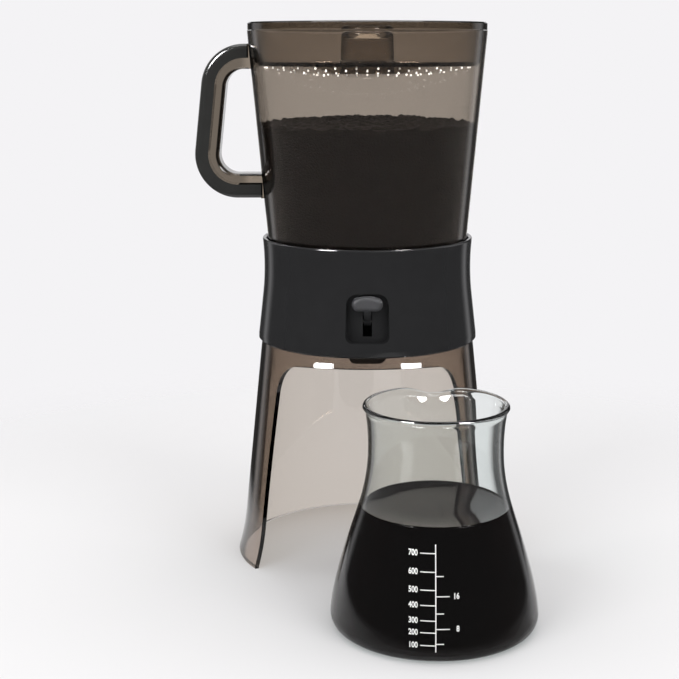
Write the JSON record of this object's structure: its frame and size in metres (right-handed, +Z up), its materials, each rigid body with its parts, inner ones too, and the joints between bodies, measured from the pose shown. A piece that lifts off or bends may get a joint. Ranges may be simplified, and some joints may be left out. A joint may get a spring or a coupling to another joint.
{
  "type": "cold brew coffee maker",
  "caption": "Drip-through cold brew coffee maker: arched stand with front switch, lift-off jug with handle, rain tray, filter, plunger valve and a loose glass carafe.",
  "frame": {"origin": "the stand's vertical axis where it meets the counter, which is also where the carafe's axis goes when it stands under the spout", "axes": "+Z up; -Y towards the user, the switch side; -X the handle side; the carafe stands in front and to the right"},
  "size_m": [0.2336, 0.3073, 0.3848],
  "materials": {
    "smoky_plastic": "transparent smoke-tinted moulded plastic",
    "gloss_black": "high gloss moulded",
    "matte_black": "satin moulded",
    "soft_grey": "matte soft-touch",
    "silicone": "matte silicone",
    "steel": "bright stainless",
    "clear_glass": "clear borosilicate"
  },
  "bodies": {
    "stand": {"stand_skirt": "smoky_plastic", "collar_shell": "gloss_black", "drain_funnel": "matte_black", "base_plate": "matte_black", "base_screws": "steel", "pivot_pin": "steel"},
    "switch": {"switch_lever": "matte_black", "switch_paddle": "soft_grey"},
    "lift_arm": {"lift_arm": "matte_black", "lift_pin": "steel"},
    "jug": {"brew_jug": "smoky_plastic", "handle_grip": "gloss_black", "valve_cage": "matte_black", "valve_spring": "steel"},
    "valve": {"valve_stem": "matte_black", "valve_seal": "silicone"},
    "filter": {"filter_gasket": "silicone", "filter_frame": "matte_black", "filter_mesh": "steel"},
    "tray": {"rain_tray": "smoky_plastic"},
    "carafe": {"glass_carafe": "clear_glass"}
  },
  "joints": [
    {"name": "switch_hinge", "type": "hinge", "parent": "stand", "child": "switch", "pos_m": [0, -0.05998, 0.184], "axis": [1, 0, 0], "range_deg": [0, 62]},
    {"name": "lift_slide", "type": "slide", "parent": "stand", "child": "lift_arm", "axis": [0, 0, 1], "range_m": [0, 0.006]},
    {"name": "jug_lift", "type": "slide", "parent": "stand", "child": "jug", "axis": [0, 0, 1], "range_m": [0, 0.075]},
    {"name": "valve_slide", "type": "slide", "parent": "jug", "child": "valve", "axis": [0, 0, 1], "range_m": [0, 0.006], "deforming": ["valve_spring"]},
    {"name": "filter_lift", "type": "slide", "parent": "jug", "child": "filter", "axis": [0, 0, 1], "range_m": [0, 0.025]},
    {"name": "tray_lift", "type": "slide", "parent": "jug", "child": "tray", "axis": [0, 0, 1], "range_m": [0, 0.06]},
    {"name": "carafe_lift", "type": "slide", "parent": "stand", "child": "carafe", "axis": [0, 0, 1], "range_m": [0, 0.1]}
  ],
  "couplings": [
    {"joint": "switch_hinge", "follows": "lift_slide", "rad_per_m": 180.35},
    {"joint": "valve_slide", "follows": "lift_slide", "ratio": 1}
  ]
}
